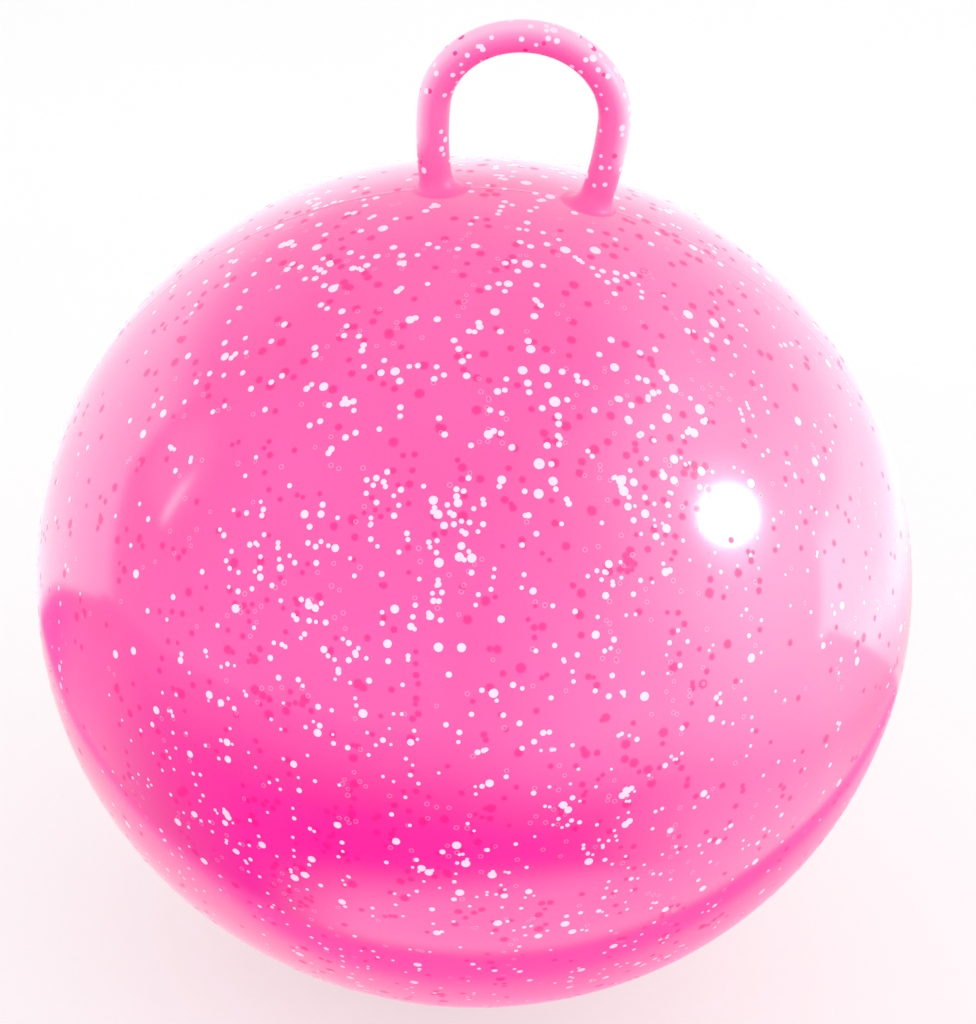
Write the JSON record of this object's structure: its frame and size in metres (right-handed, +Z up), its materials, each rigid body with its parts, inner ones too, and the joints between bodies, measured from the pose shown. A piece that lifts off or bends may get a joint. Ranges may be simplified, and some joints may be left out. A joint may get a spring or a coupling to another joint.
{
  "type": "hopper ball",
  "caption": "Blown-up vinyl hopper ball with a springy closed loop handle moulded on top and a pull-out air plug at the back, resting on a small flattened patch.",
  "frame": {"origin": "centre of the patch that the ball rests on, on the ground", "axes": "+Z up through the ball's pole, +X along the handle's width, +Y towards the back, where the air valve is"},
  "size_m": [0.45, 0.45, 0.5228],
  "materials": {
    "skin_vinyl": "glossy soft vinyl with glitter",
    "handle_vinyl": "glossy soft vinyl with glitter",
    "valve_vinyl": "satin soft vinyl",
    "plug_plastic": "satin moulded plastic"
  },
  "bodies": {
    "ball": {"ball_skin": "skin_vinyl", "handle_root_left": "handle_vinyl", "handle_root_right": "handle_vinyl", "valve_seat": "valve_vinyl"},
    "handle": {"handle_loop": "handle_vinyl"},
    "plug": {"valve_plug": "plug_plastic"}
  },
  "joints": [
    {"name": "handle_flex", "type": "hinge", "parent": "ball", "child": "handle", "pos_m": [0, 0, 0.44234], "axis": [1, 0, 0], "range_deg": [-35, 35], "stiffness_Nm_per_rad": 1.1},
    {"name": "valve_plug_pull", "type": "slide", "parent": "ball", "child": "plug", "axis": [0, 0.6157, 0.788], "range_m": [0, 0.03]}
  ]
}
